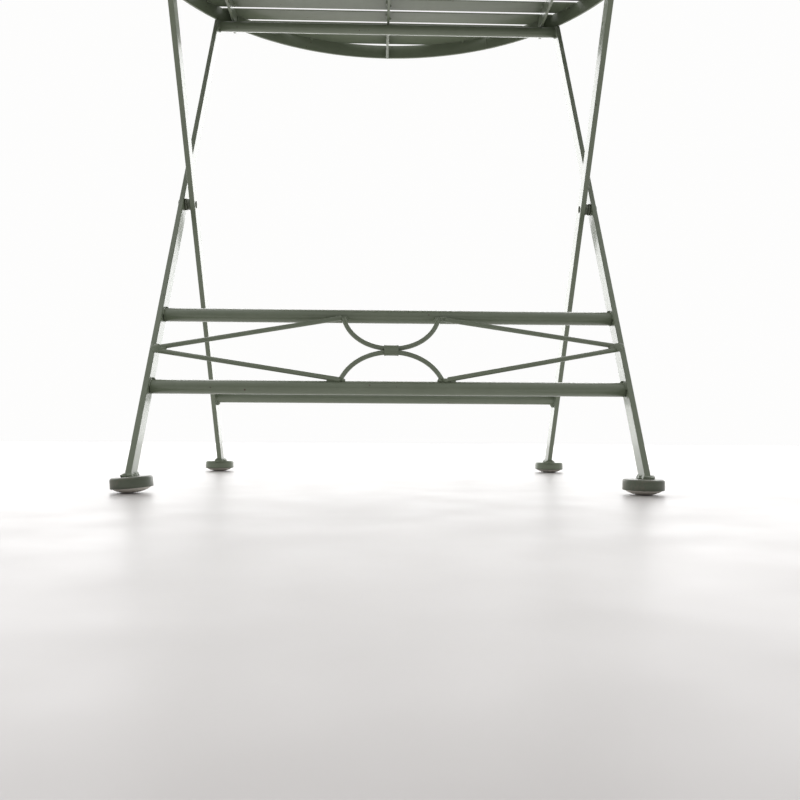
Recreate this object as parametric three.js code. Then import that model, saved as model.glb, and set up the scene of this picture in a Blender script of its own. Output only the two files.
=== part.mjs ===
// Folding iron bistro table: two crossed leg frames of flat bar and a round slatted top.
// Millimetres, +Z up. The origin is on the floor, midway between the four feet.
// +X is to the right seen from the ornamented side, and +Y points away from that side.
import * as THREE from "three";

// ---- Driving dimensions ----
const PIVOT_HEIGHT = 360;
const FOOT_SPREAD = 460; // between the front and back foot centres, along Y
const FOLD_AXIS_HEIGHT = 702.5; // hinge rivets and top crossbar share this height
const OUTER_LEG_X = 270; // centre of each outer leg's thickness
const INNER_LEG_X = 256;
const OUTER_CUP_X = 265; // the cups are not quite centred under their legs
const INNER_CUP_X = 259.5;
const GAP = 0.3; // air left between pieces that touch or are welded

const BAR_WIDTH = 20;
const BAR_THICKNESS = 6.5;
const TUBE_RADIUS = 8;
const ROD_RADIUS = 2.8;

const LOWER_STRETCHER_HEIGHT = 113;
const UPPER_STRETCHER_HEIGHT = 201;
const INNER_CROSSBAR_HEIGHT = 650;

const TOP_RADIUS = 350;
const TABLE_HEIGHT = 735;
const HOOP_HEIGHT = 22;
const HOOP_THICKNESS = 4;
const SLAT_WIDTH = 33;
const SLAT_THICKNESS = 2;
const SLAT_PITCH = 40;
const SLATS_EACH_SIDE = 8;
const BEARER_THICKNESS = 4;
const SIDE_BEARER_X = 245;

// ---- Worked out from them ----
const LEAN = Math.atan2(FOOT_SPREAD / 2, PIVOT_HEIGHT); // each frame's lean from vertical
const FOLD_ARM = (FOLD_AXIS_HEIGHT - PIVOT_HEIGHT) / Math.cos(LEAN); // pivot to hinge or crossbar
const FOLD_AXIS_Y = FOLD_ARM * Math.sin(LEAN);
const OUTER_INNER_FACE = OUTER_LEG_X - BAR_THICKNESS / 2;
const INNER_INNER_FACE = INNER_LEG_X - BAR_THICKNESS / 2;
const BEARER_TOP = TABLE_HEIGHT - SLAT_THICKNESS - GAP;
const BEARER_BOTTOM = TABLE_HEIGHT - SLAT_THICKNESS - HOOP_HEIGHT;
const HOOP_INNER_RADIUS = TOP_RADIUS - HOOP_THICKNESS;

// ---- Finishes ----
const paint = new THREE.MeshStandardMaterial({ color: 0x68705f, roughness: 0.45, metalness: 0 });
const glidePlastic = new THREE.MeshStandardMaterial({ color: 0xa5a198, roughness: 0.5, metalness: 0 });
const hardware = new THREE.MeshStandardMaterial({ color: 0x50564c, roughness: 0.4, metalness: 0.3 });

const table = new THREE.Group();

// A height on a leaning frame, as a distance along it from the pivot (negative is below).
function along(height) {
  return (height - PIVOT_HEIGHT) / Math.cos(LEAN);
}

function addMesh(parent, name, geometry, material) {
  const mesh = new THREE.Mesh(geometry, material);
  mesh.name = name;
  parent.add(mesh);
  return mesh;
}

// An outline in (y, z), extruded along X and centred on x = 0.
function plateAcrossX(shape, thickness, curveSegments = 8) {
  const geometry = new THREE.ExtrudeGeometry(shape, { depth: thickness, bevelEnabled: false, curveSegments });
  geometry.translate(0, 0, -thickness / 2);
  geometry.applyMatrix4(
    new THREE.Matrix4().makeBasis(
      new THREE.Vector3(0, 1, 0),
      new THREE.Vector3(0, 0, 1),
      new THREE.Vector3(1, 0, 0),
    ),
  );
  return geometry;
}

// A turned piece along +X from a profile of [radius, x] points that starts and ends on the axis,
// or closes on itself.
function turnedAlongX(profile, segments) {
  const points = profile.map(([radius, x]) => new THREE.Vector2(radius, x));
  const geometry = new THREE.LatheGeometry(points, segments);
  geometry.rotateZ(-Math.PI / 2);
  return geometry;
}

function turnedUpright(profile, segments) {
  const points = profile.map(([radius, z]) => new THREE.Vector2(radius, z));
  const geometry = new THREE.LatheGeometry(points, segments);
  geometry.rotateX(Math.PI / 2);
  return geometry;
}

function circleShape(radius) {
  const shape = new THREE.Shape();
  shape.absarc(0, 0, radius, 0, 2 * Math.PI, false);
  return shape;
}

function roundHole(y, z, radius) {
  const hole = new THREE.Path();
  hole.absarc(y, z, radius, 0, 2 * Math.PI, true);
  return hole;
}

// A stretcher tube between the inner faces of one frame's two legs, thin-walled and open-ended.
function stretcher(innerFaceX) {
  const half = innerFaceX - GAP;
  const wall = 1.5;
  const profile = [
    [TUBE_RADIUS - wall, -half],
    [TUBE_RADIUS, -half],
    [TUBE_RADIUS, half],
    [TUBE_RADIUS - wall, half],
    [TUBE_RADIUS - wall, -half],
  ];
  return turnedAlongX(profile, 24);
}

// ---- Leg frames ----
// Each frame is drawn upright about the pivot and leans by turning about X:
// local Z runs up along the legs and local Y is across their width.
function leaningFrame(leanAngle) {
  const frame = new THREE.Group();
  frame.position.z = PIVOT_HEIGHT;
  frame.rotation.x = leanAngle;
  table.add(frame);
  return frame;
}

const CUP_TOP = 16.2;
const SHANK_RADIUS = 4;
const RIVET_HOLE_RADIUS = 4.3;

// feetSide is +1 for the frame whose feet are at +Y and -1 for the one whose feet are at -Y.
// The lower end is cut level with the floor.
function legGeometry(feetSide, topHole) {
  const half = BAR_WIDTH / 2;
  const cut = along(CUP_TOP + GAP);
  const slant = -feetSide * half * Math.tan(LEAN);
  const shape = new THREE.Shape();
  shape.moveTo(-half, cut - slant);
  shape.lineTo(half, cut + slant);
  shape.lineTo(half, FOLD_ARM);
  shape.absarc(0, FOLD_ARM, half, 0, Math.PI, false);
  shape.lineTo(-half, cut - slant);
  shape.holes.push(roundHole(0, 0, RIVET_HOLE_RADIUS));
  if (topHole) shape.holes.push(roundHole(0, FOLD_ARM, RIVET_HOLE_RADIUS));
  return plateAcrossX(shape, BAR_THICKNESS, 10);
}

const SIDES = [
  ["left", -1],
  ["right", 1],
];

const outerFrame = leaningFrame(-LEAN);
const innerFrame = leaningFrame(LEAN);

for (const [word, side] of SIDES) {
  const outer = addMesh(outerFrame, `outer_leg_${word}`, legGeometry(-1, false), paint);
  outer.position.x = side * OUTER_LEG_X;
  const inner = addMesh(innerFrame, `inner_leg_${word}`, legGeometry(1, true), paint);
  inner.position.x = side * INNER_LEG_X;
}

function addStretcher(frame, name, innerFaceX, distance) {
  addMesh(frame, name, stretcher(innerFaceX), paint).position.z = distance;
}

addStretcher(outerFrame, "outer_upper_stretcher", OUTER_INNER_FACE, along(UPPER_STRETCHER_HEIGHT));
addStretcher(outerFrame, "outer_lower_stretcher", OUTER_INNER_FACE, along(LOWER_STRETCHER_HEIGHT));
addStretcher(outerFrame, "outer_top_crossbar", OUTER_INNER_FACE, FOLD_ARM);
addStretcher(innerFrame, "inner_lower_stretcher", INNER_INNER_FACE, along(LOWER_STRETCHER_HEIGHT));
addStretcher(innerFrame, "inner_top_crossbar", INNER_INNER_FACE, along(INNER_CROSSBAR_HEIGHT));

// ---- Ornament between the two outer stretchers ----
// It lies in a plane just in front of the stretchers' centres. Local Z is along the frame.
const ORNAMENT_Y = -8.4;
const ORNAMENT_X = 2; // the whole ornament sits a little to the right of the middle
const ROD_REACH = Math.sqrt((TUBE_RADIUS + ROD_RADIUS + GAP) ** 2 - ORNAMENT_Y ** 2);
const UPPER_ROD_END = along(UPPER_STRETCHER_HEIGHT) - ROD_REACH;
const LOWER_ROD_END = along(LOWER_STRETCHER_HEIGHT) + ROD_REACH;
const ORNAMENT_DROP = 5; // the collar sits a little below halfway between the stretchers
const ORNAMENT_MIDDLE = (UPPER_ROD_END + LOWER_ROD_END) / 2 - ORNAMENT_DROP;
const ARC_SPACING = 2 * ROD_RADIUS + 0.4; // between the two arcs' centres at the collar
const ARC_HALF_CHORD = { upper: 55.2, lower: 56 };
const BRACE_APEX = { left: -0.6, right: 6.6 }; // the braces meet the legs a little askew
const BRACE_APEX_SPACING = 3; // the upper brace runs to the leg and the lower one stops just short
const BRACE_TRIM = 0.05; // share of the lower brace's length that is cut off at the leg
const BRACE_ARC_CLEARANCE = 2 * ROD_RADIUS + 2;

// An arc rod from (-halfChord, end) by way of (0, bulge) to (halfChord, end).
function arcRod(halfChord, end, bulge) {
  const sagitta = Math.abs(end - bulge);
  const radius = (halfChord ** 2 + sagitta ** 2) / (2 * sagitta);
  const halfAngle = Math.asin(halfChord / radius);
  const direction = Math.sign(end - bulge);
  const centre = bulge + direction * radius;
  const steps = 18;
  const section = circleShape(ROD_RADIUS);
  const points = [];
  for (let i = 0; i <= steps; i++) {
    const angle = halfAngle * ((2 * i) / steps - 1);
    points.push(new THREE.Vector3(radius * Math.sin(angle), 0, centre - direction * radius * Math.cos(angle)));
  }
  const extrudePath = new THREE.CatmullRomCurve3(points);
  return new THREE.ExtrudeGeometry(section, { extrudePath, steps, curveSegments: 5 });
}

function straightRod(from, to) {
  const extrudePath = new THREE.LineCurve3(from, to);
  return new THREE.ExtrudeGeometry(circleShape(ROD_RADIUS), { extrudePath, steps: 1, curveSegments: 5 });
}

const ornament = new THREE.Group();
ornament.position.set(ORNAMENT_X, ORNAMENT_Y, 0);
outerFrame.add(ornament);

const arcEnds = { upper: UPPER_ROD_END, lower: LOWER_ROD_END };
for (const [level, sign] of [
  ["upper", 1],
  ["lower", -1],
]) {
  const bulge = ORNAMENT_MIDDLE + (sign * ARC_SPACING) / 2;
  addMesh(ornament, `${level}_arc_rod`, arcRod(ARC_HALF_CHORD[level], arcEnds[level], bulge), paint);
  for (const [word, side] of SIDES) {
    const legX = side * (OUTER_INNER_FACE - GAP) - ORNAMENT_X;
    const apex = ORNAMENT_MIDDLE + BRACE_APEX[word] + (sign * BRACE_APEX_SPACING) / 2;
    const tubeX = side * (ARC_HALF_CHORD[level] + BRACE_ARC_CLEARANCE);
    const tubeEnd = new THREE.Vector3(tubeX, 0, arcEnds[level]);
    const legEnd = new THREE.Vector3(legX - side * 0.5, 0, apex);
    if (level === "lower") legEnd.lerp(tubeEnd, BRACE_TRIM);
    addMesh(ornament, `${level}_brace_${word}`, straightRod(legEnd, tubeEnd), paint);
  }
}

// The collar is a strip of sheet wrapped round both arcs where they touch.
const COLLAR_LENGTH = 17;
const COLLAR_WALL = 0.8;
const COLLAR_ROOM = 0.9; // the arcs bend away from each other inside the collar

function collarGeometry() {
  const halfDepth = ROD_RADIUS + COLLAR_ROOM;
  const halfHeight = ARC_SPACING / 2 + ROD_RADIUS + COLLAR_ROOM;
  const outline = (grow) => {
    const shape = new THREE.Shape();
    const y = halfDepth + grow;
    const z = halfHeight + grow;
    const corner = y * 0.7;
    shape.moveTo(-y + corner, -z);
    shape.lineTo(y - corner, -z);
    shape.absarc(y - corner, -z + corner, corner, -Math.PI / 2, 0, false);
    shape.lineTo(y, z - corner);
    shape.absarc(y - corner, z - corner, corner, 0, Math.PI / 2, false);
    shape.lineTo(-y + corner, z);
    shape.absarc(-y + corner, z - corner, corner, Math.PI / 2, Math.PI, false);
    shape.lineTo(-y, -z + corner);
    shape.absarc(-y + corner, -z + corner, corner, Math.PI, 1.5 * Math.PI, false);
    return shape;
  };
  const shape = outline(COLLAR_WALL);
  shape.holes.push(outline(0));
  return plateAcrossX(shape, COLLAR_LENGTH, 4);
}

addMesh(ornament, "ornament_collar", collarGeometry(), paint).position.z = ORNAMENT_MIDDLE;

// ---- Feet: a pressed steel cup over a domed glide ----
const CUP_RADIUS = 21.5;
const CUP_RIM = 4.8; // height of the cup's lower edge above the floor
const CUP_WALL = 1.5;
const GLIDE_CONTACT_RADIUS = 7.5;

function cupGeometry() {
  const corner = 2;
  const inside = CUP_RADIUS - CUP_WALL;
  return turnedUpright(
    [
      [0, CUP_TOP - CUP_WALL],
      [inside, CUP_TOP - CUP_WALL],
      [inside, CUP_RIM],
      [CUP_RADIUS, CUP_RIM],
      [CUP_RADIUS, CUP_TOP - corner],
      [CUP_RADIUS - corner * 0.3, CUP_TOP - corner * 0.3],
      [CUP_RADIUS - corner, CUP_TOP],
      [0, CUP_TOP],
    ],
    36,
  );
}

function glideGeometry() {
  const radius = CUP_RADIUS - CUP_WALL - GAP;
  const top = CUP_TOP - CUP_WALL - GAP;
  return turnedUpright(
    [
      [0, 0],
      [GLIDE_CONTACT_RADIUS, 0],
      [GLIDE_CONTACT_RADIUS + 5, 1.5],
      [radius - 3, 3.8],
      [radius, CUP_RIM],
      [radius, top],
      [0, top],
    ],
    36,
  );
}

const FEET = [
  ["outer", OUTER_CUP_X, -1],
  ["inner", INNER_CUP_X, 1],
];
for (const [frameWord, cupX, end] of FEET) {
  for (const [word, side] of SIDES) {
    const foot = new THREE.Group();
    foot.position.set(side * cupX, (end * FOOT_SPREAD) / 2, 0);
    table.add(foot);
    addMesh(foot, `${frameWord}_foot_cup_${word}`, cupGeometry(), paint);
    addMesh(foot, `${frameWord}_foot_glide_${word}`, glideGeometry(), glidePlastic);
  }
}

// ---- Pivot between the two frames ----
// Each stack is drawn for the right-hand side, as [radius, x] from the table's middle.
function addSpun(name, height, y, side, profile, material) {
  const ordered = side > 0 ? profile : profile.map(([radius, x]) => [radius, -x]).reverse();
  const mesh = addMesh(table, name, turnedAlongX(ordered, 24), material);
  mesh.position.set(0, y, height);
}

const OUTER_FACE = OUTER_LEG_X + BAR_THICKNESS / 2;
const INNER_OUTER_FACE = INNER_LEG_X + BAR_THICKNESS / 2;
const WASHER_THICKNESS = 2.6;

// A domed head's profile on the shank, from its face out to its crown; outward is +1 or -1 along X.
function domedHead(face, outward, headRadius, headHeight) {
  return [
    [headRadius, face],
    [headRadius, face + outward * headHeight * 0.35],
    [headRadius * 0.86, face + outward * headHeight * 0.68],
    [headRadius * 0.55, face + outward * headHeight * 0.92],
    [0, face + outward * headHeight],
  ];
}

// Heads are [radius, height], the inner one nearer the table's middle.
function doubleHeadedRivet(innerFace, innerHead, outerFace, outerHead) {
  return [
    ...domedHead(innerFace, -1, ...innerHead).reverse(),
    [SHANK_RADIUS, innerFace],
    [SHANK_RADIUS, outerFace],
    ...domedHead(outerFace, 1, ...outerHead),
  ];
}

function ring(innerRadius, outerRadius, from, to) {
  return [
    [innerRadius, from],
    [outerRadius, from],
    [outerRadius, to],
    [innerRadius, to],
    [innerRadius, from],
  ];
}

const SLEEVE_START = INNER_OUTER_FACE + GAP;
const WASHER_END = OUTER_INNER_FACE - GAP;
const WASHER_START = WASHER_END - WASHER_THICKNESS;
for (const [word, side] of SIDES) {
  const rivet = doubleHeadedRivet(INNER_INNER_FACE - GAP, [5.2, 2.4], OUTER_FACE + GAP, [6.4, 3]);
  addSpun(`pivot_rivet_${word}`, PIVOT_HEIGHT, 0, side, rivet, hardware);
  const sleeve = ring(RIVET_HOLE_RADIUS, 7.2, SLEEVE_START, WASHER_START - GAP);
  addSpun(`pivot_spacer_${word}`, PIVOT_HEIGHT, 0, side, sleeve, hardware);
  const washer = ring(RIVET_HOLE_RADIUS, 7.6, WASHER_START, WASHER_END);
  addSpun(`pivot_washer_${word}`, PIVOT_HEIGHT, 0, side, washer, hardware);
}

// ---- Round top ----
function hoopGeometry() {
  const low = TABLE_HEIGHT - HOOP_HEIGHT;
  return turnedUpright(
    [
      [HOOP_INNER_RADIUS, low],
      [TOP_RADIUS, low],
      [TOP_RADIUS, TABLE_HEIGHT],
      [HOOP_INNER_RADIUS, TABLE_HEIGHT],
      [HOOP_INNER_RADIUS, low],
    ],
    96,
  );
}

// A slat's two ends follow the inside of the hoop.
function slatGeometry(y) {
  const radius = HOOP_INNER_RADIUS - GAP - 0.3;
  const near = y - SLAT_WIDTH / 2;
  const far = y + SLAT_WIDTH / 2;
  const steps = 4;
  const points = [];
  for (const side of [1, -1]) {
    for (let i = 0; i <= steps; i++) {
      const share = side > 0 ? i / steps : 1 - i / steps;
      const edge = near + (far - near) * share;
      points.push(new THREE.Vector2(side * Math.sqrt(radius ** 2 - edge ** 2), edge));
    }
  }
  const geometry = new THREE.ExtrudeGeometry(new THREE.Shape(points), {
    depth: SLAT_THICKNESS,
    bevelEnabled: false,
  });
  geometry.translate(0, 0, TABLE_HEIGHT - SLAT_THICKNESS);
  return geometry;
}

addMesh(table, "top_hoop", hoopGeometry(), paint);
for (let i = -SLATS_EACH_SIDE; i <= SLATS_EACH_SIDE; i++) {
  const number = String(i + SLATS_EACH_SIDE + 1).padStart(2, "0");
  addMesh(table, `slat_${number}`, slatGeometry(i * SLAT_PITCH), paint);
}

// A bearer is a bar on edge under the slats, cut to fit inside the hoop.
function bearerGeometry(x) {
  const reach = Math.sqrt((HOOP_INNER_RADIUS - GAP - 0.3) ** 2 - (Math.abs(x) + BEARER_THICKNESS / 2) ** 2);
  const height = BEARER_TOP - BEARER_BOTTOM;
  const geometry = new THREE.BoxGeometry(BEARER_THICKNESS, 2 * reach, height);
  geometry.translate(x, 0, BEARER_BOTTOM + height / 2);
  return geometry;
}

addMesh(table, "top_bearer_middle", bearerGeometry(0), paint);
for (const [word, side] of SIDES)
  addMesh(table, `top_bearer_${word}`, bearerGeometry(side * SIDE_BEARER_X), paint);

// ---- Hinge lugs and rivets on the inner frame's top ends ----
const LUG_HALF_WIDTH = 11;
const LUG_TOP = BEARER_BOTTOM - GAP;

function lugGeometry() {
  const shape = new THREE.Shape();
  shape.moveTo(-LUG_HALF_WIDTH - 8, LUG_TOP - FOLD_AXIS_HEIGHT);
  shape.lineTo(-LUG_HALF_WIDTH, 0);
  shape.absarc(0, 0, LUG_HALF_WIDTH, Math.PI, 2 * Math.PI, false);
  shape.lineTo(LUG_HALF_WIDTH + 8, LUG_TOP - FOLD_AXIS_HEIGHT);
  shape.holes.push(roundHole(0, 0, RIVET_HOLE_RADIUS));
  return plateAcrossX(shape, BEARER_THICKNESS, 8);
}

const LUG_OUTER_FACE = SIDE_BEARER_X + BEARER_THICKNESS / 2;
const LUG_INNER_FACE = SIDE_BEARER_X - BEARER_THICKNESS / 2;
for (const [word, side] of SIDES) {
  const lug = addMesh(table, `hinge_lug_${word}`, lugGeometry(), paint);
  lug.position.set(side * SIDE_BEARER_X, -FOLD_AXIS_Y, FOLD_AXIS_HEIGHT);
  const rivet = doubleHeadedRivet(LUG_INNER_FACE - GAP, [6.5, 3], INNER_OUTER_FACE + GAP, [6.5, 3]);
  addSpun(`hinge_rivet_${word}`, FOLD_AXIS_HEIGHT, -FOLD_AXIS_Y, side, rivet, hardware);
  const washer = ring(RIVET_HOLE_RADIUS, 8, LUG_OUTER_FACE + GAP, INNER_INNER_FACE - GAP);
  addSpun(`hinge_washer_${word}`, FOLD_AXIS_HEIGHT, -FOLD_AXIS_Y, side, washer, hardware);
}

// ---- Catch hooks: they stop the crossbar on its outer side when the table is open ----
const CATCH_CLEARANCE = 0.5;
const CATCH_WALL = 6;
const CATCH_DROP = 4; // how far the hook reaches below the crossbar's centre

function catchGeometry() {
  const top = BEARER_BOTTOM - GAP - FOLD_AXIS_HEIGHT;
  const inside = TUBE_RADIUS + CATCH_CLEARANCE;
  const shape = new THREE.Shape();
  shape.moveTo(inside, -CATCH_DROP);
  shape.lineTo(inside + CATCH_WALL, -CATCH_DROP);
  shape.lineTo(inside + CATCH_WALL + 10, top);
  shape.lineTo(inside * Math.cos(0.9), top);
  shape.absarc(0, 0, inside, 0.9, 0, true);
  return plateAcrossX(shape, BEARER_THICKNESS, 5);
}

for (const [word, side] of SIDES) {
  const hook = addMesh(table, `catch_hook_${word}`, catchGeometry(), paint);
  hook.position.set(side * SIDE_BEARER_X, FOLD_AXIS_Y, FOLD_AXIS_HEIGHT);
}

export default table;
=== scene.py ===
"""Folding iron bistro table: two crossed leg frames of painted flat bar under a round slatted top.

Lengths are given in millimetres and turned into metres by MM. The origin is on the floor between the
four feet, +X is to the right seen from the ornamented side, +Y points away from it and +Z is up.
"""
import math

import bpy
from mathutils import Matrix, Vector, noise


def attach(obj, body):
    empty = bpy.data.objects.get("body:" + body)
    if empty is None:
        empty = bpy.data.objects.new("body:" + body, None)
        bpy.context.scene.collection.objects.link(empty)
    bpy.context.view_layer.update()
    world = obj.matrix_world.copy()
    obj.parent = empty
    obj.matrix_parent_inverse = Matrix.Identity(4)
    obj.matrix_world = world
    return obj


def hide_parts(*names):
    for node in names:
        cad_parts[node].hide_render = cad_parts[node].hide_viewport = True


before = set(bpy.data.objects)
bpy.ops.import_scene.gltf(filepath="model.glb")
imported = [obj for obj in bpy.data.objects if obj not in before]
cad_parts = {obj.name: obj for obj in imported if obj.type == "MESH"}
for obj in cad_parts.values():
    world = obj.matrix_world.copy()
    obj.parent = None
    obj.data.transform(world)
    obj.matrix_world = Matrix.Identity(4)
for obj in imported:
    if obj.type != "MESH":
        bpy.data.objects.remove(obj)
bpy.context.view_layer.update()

# ---- Driving dimensions ----
MM = 0.001
PIVOT_HEIGHT = 360
FOOT_SPREAD = 460
FOLD_AXIS_HEIGHT = 702.5
OUTER_LEG_X = 270
INNER_LEG_X = 256
OUTER_CUP_X = 265
INNER_CUP_X = 259.5

BAR_WIDTH = 20
BAR_THICKNESS = 6.5
BAR_CORNER = 0.9
SLAT_CORNER = 0.55
PLATE_CORNER = 0.5
TUBE_RADIUS = 8
TUBE_WALL = 1.5
ROD_RADIUS = 2.8

LOWER_STRETCHER_HEIGHT = 113
UPPER_STRETCHER_HEIGHT = 201
INNER_CROSSBAR_HEIGHT = 650

TOP_RADIUS = 350
TABLE_HEIGHT = 735
HOOP_HEIGHT = 22
HOOP_THICKNESS = 4
SLAT_WIDTH = 33
SLAT_THICKNESS = 2
SLAT_PITCH = 40
SLATS_EACH_SIDE = 8
BEARER_THICKNESS = 4
SIDE_BEARER_X = 245

# ---- Worked out from them ----
LEAN = math.atan2(FOOT_SPREAD / 2, PIVOT_HEIGHT)
FOLD_ARM = (FOLD_AXIS_HEIGHT - PIVOT_HEIGHT) / math.cos(LEAN)
FOLD_AXIS_Y = FOLD_ARM * math.sin(LEAN)
OUTER_INNER_FACE = OUTER_LEG_X - BAR_THICKNESS / 2
OUTER_FACE = OUTER_LEG_X + BAR_THICKNESS / 2
INNER_INNER_FACE = INNER_LEG_X - BAR_THICKNESS / 2
INNER_OUTER_FACE = INNER_LEG_X + BAR_THICKNESS / 2
HOOP_INNER_RADIUS = TOP_RADIUS - HOOP_THICKNESS
SLAT_UNDERSIDE = TABLE_HEIGHT - SLAT_THICKNESS
BEARER_BOTTOM = SLAT_UNDERSIDE - HOOP_HEIGHT
SIDES = (("left", -1), ("right", 1))

PLAIN = Matrix.Identity(4)
OUTER_LEAN = Matrix.Translation((0, 0, PIVOT_HEIGHT)) @ Matrix.Rotation(-LEAN, 4, "X")
INNER_LEAN = Matrix.Translation((0, 0, PIVOT_HEIGHT)) @ Matrix.Rotation(LEAN, 4, "X")
LEANS = {"outer": OUTER_LEAN, "inner": INNER_LEAN}
INNER_FACES = {"outer": OUTER_INNER_FACE, "inner": INNER_INNER_FACE}


def along(height):
    """A height on a leaning frame, as a distance along it from the pivot."""
    return (height - PIVOT_HEIGHT) / math.cos(LEAN)


# ---- Shader node helpers ----
def add_node(tree, kind, **values):
    """A node with its sockets set by name, as in Scale=4. A value that is a socket is linked."""
    made = tree.nodes.new(kind)
    for name, value in values.items():
        set_socket(tree, made.inputs[name.replace("_", " ")], value)
    return made


def set_socket(tree, socket, value):
    """Links the socket to value if that is a socket too, and sets it if not."""
    if isinstance(value, bpy.types.NodeSocket):
        tree.links.new(value, socket)
    else:
        socket.default_value = value


def calculate(tree, operation, first, second, third=None):
    """One step of arithmetic on numbers or sockets."""
    made = tree.nodes.new("ShaderNodeMath")
    made.operation = operation
    for socket, value in zip(made.inputs, (first, second, third)):
        if value is not None:
            set_socket(tree, socket, value)
    return made.outputs["Value"]


# A Mix node has a pair of inputs and a result for each kind of data; these are the colour ones.
MIX_COLOUR_A = 6
MIX_COLOUR_B = 7
MIX_COLOUR_RESULT = 2


def mix_colours(tree, share, first, second):
    """The first colour where share is 0, the second where it is 1."""
    made = tree.nodes.new("ShaderNodeMix")
    made.data_type = "RGBA"
    set_socket(tree, made.inputs["Factor"], share)
    set_socket(tree, made.inputs[MIX_COLOUR_A], first)
    set_socket(tree, made.inputs[MIX_COLOUR_B], second)
    return made.outputs[MIX_COLOUR_RESULT]


def remap(tree, value, span, onto=(0.0, 1.0)):
    """Carries the two ends of span to the two ends of onto, and holds the value between them."""
    made = add_node(tree, "ShaderNodeMapRange")
    for socket, number in zip(made.inputs, (value, *span, *onto)):
        set_socket(tree, socket, number)
    return made.outputs["Result"]


def noise_value(tree, vector, scale, detail=3.0, roughness=0.5):
    """Smooth noise from 0 to 1, scale lumps to the metre."""
    settings = {"Scale": scale, "Detail": detail, "Roughness": roughness}
    return add_node(tree, "ShaderNodeTexNoise", Vector=vector, **settings).outputs["Fac"]


def start_group(name, inputs, outputs):
    """An empty group; inputs are {name: (socket type, default)} and outputs {name: socket type}."""
    group = bpy.data.node_groups.new(name, "ShaderNodeTree")
    for label, (kind, default) in inputs.items():
        socket = group.interface.new_socket(label, in_out="INPUT", socket_type=kind)
        if default is not None:
            socket.default_value = default
    for label, kind in outputs.items():
        group.interface.new_socket(label, in_out="OUTPUT", socket_type=kind)
    return group, group.nodes.new("NodeGroupInput").outputs, group.nodes.new("NodeGroupOutput").inputs


def use_group(tree, group, **values):
    """The outputs of a group placed in a tree, its inputs set by name."""
    made = tree.nodes.new("ShaderNodeGroup")
    made.node_tree = group
    for name, value in values.items():
        set_socket(tree, made.inputs[name.replace("_", " ")], value)
    return made.outputs


FLOAT = "NodeSocketFloat"
COLOUR = "NodeSocketColor"
VECTOR = "NodeSocketVector"


def tone_drift_group():
    """Slow drift between a coating's thin and thick tones, with finer clouding over it."""
    group, given, made = start_group(
        "Tone Drift",
        {
            "Vector": (VECTOR, None),
            "Thin": (COLOUR, (0.1, 0.1, 0.1, 1)),
            "Thick": (COLOUR, (0.1, 0.1, 0.1, 1)),
            "Scale": (FLOAT, 9.0),
            "Cloud Scale": (FLOAT, 70.0),
        },
        {"Colour": COLOUR},
    )
    broad = noise_value(group, given["Vector"], given["Scale"], detail=2.0)
    cloud = noise_value(group, given["Vector"], given["Cloud Scale"], detail=4.0, roughness=0.6)
    cloud_share = 0.4
    drift = calculate(group, "MULTIPLY", broad, 1 - cloud_share)
    thickness = calculate(group, "MULTIPLY_ADD", cloud, cloud_share, drift)
    mixed = mix_colours(group, remap(group, thickness, (0.35, 0.65)), given["Thin"], given["Thick"])
    group.links.new(mixed, made["Colour"])
    return group


def skin_group():
    """The height of a sprayed or moulded skin: fine peel over a slower sag and a few specks."""
    group, given, made = start_group(
        "Coating Skin",
        {
            "Vector": (VECTOR, None),
            "Peel Scale": (FLOAT, 420.0),
            "Sag Scale": (FLOAT, 60.0),
            "Sag Share": (FLOAT, 1.5),
            "Speck Scale": (FLOAT, 160.0),
        },
        {"Height": FLOAT},
    )
    peel = noise_value(group, given["Vector"], given["Peel Scale"], detail=2.0, roughness=0.45)
    sag = noise_value(group, given["Vector"], given["Sag Scale"], detail=2.0)
    cells = add_node(group, "ShaderNodeTexVoronoi", Vector=given["Vector"], Scale=given["Speck Scale"])
    specks = remap(group, cells.outputs["Distance"], (0.04, 0.13), (1.0, 0.0))
    patches = remap(group, noise_value(group, given["Vector"], given["Sag Scale"], detail=1.0), (0.55, 0.7))
    rare = calculate(group, "MULTIPLY", specks, patches)
    height = calculate(group, "MULTIPLY_ADD", sag, given["Sag Share"], peel)
    group.links.new(calculate(group, "ADD", height, rare), made["Height"])
    return group


def scuff_group():
    """Where a surface has been rubbed: long thin streaks broken up into patches, from 0 to 1."""
    group, given, made = start_group(
        "Scuffs",
        {"Vector": (VECTOR, None), "Scale": (FLOAT, 30.0), "Cover": (FLOAT, 0.25)},
        {"Mask": FLOAT},
    )
    stretch = add_node(group, "ShaderNodeMapping", Vector=given["Vector"], Scale=(0.35, 3.0, 1.0))
    streak_scale = calculate(group, "MULTIPLY", given["Scale"], 6.0)
    streaks = noise_value(group, stretch.outputs["Vector"], streak_scale, detail=5.0, roughness=0.7)
    patches = noise_value(group, given["Vector"], given["Scale"], detail=2.0)
    both = calculate(group, "MULTIPLY", streaks, patches)
    start = calculate(group, "SUBTRACT", 0.5, calculate(group, "MULTIPLY", given["Cover"], 0.5))
    end = calculate(group, "ADD", start, 0.08)
    group.links.new(remap(group, both, (start, end)), made["Mask"])
    return group


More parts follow.
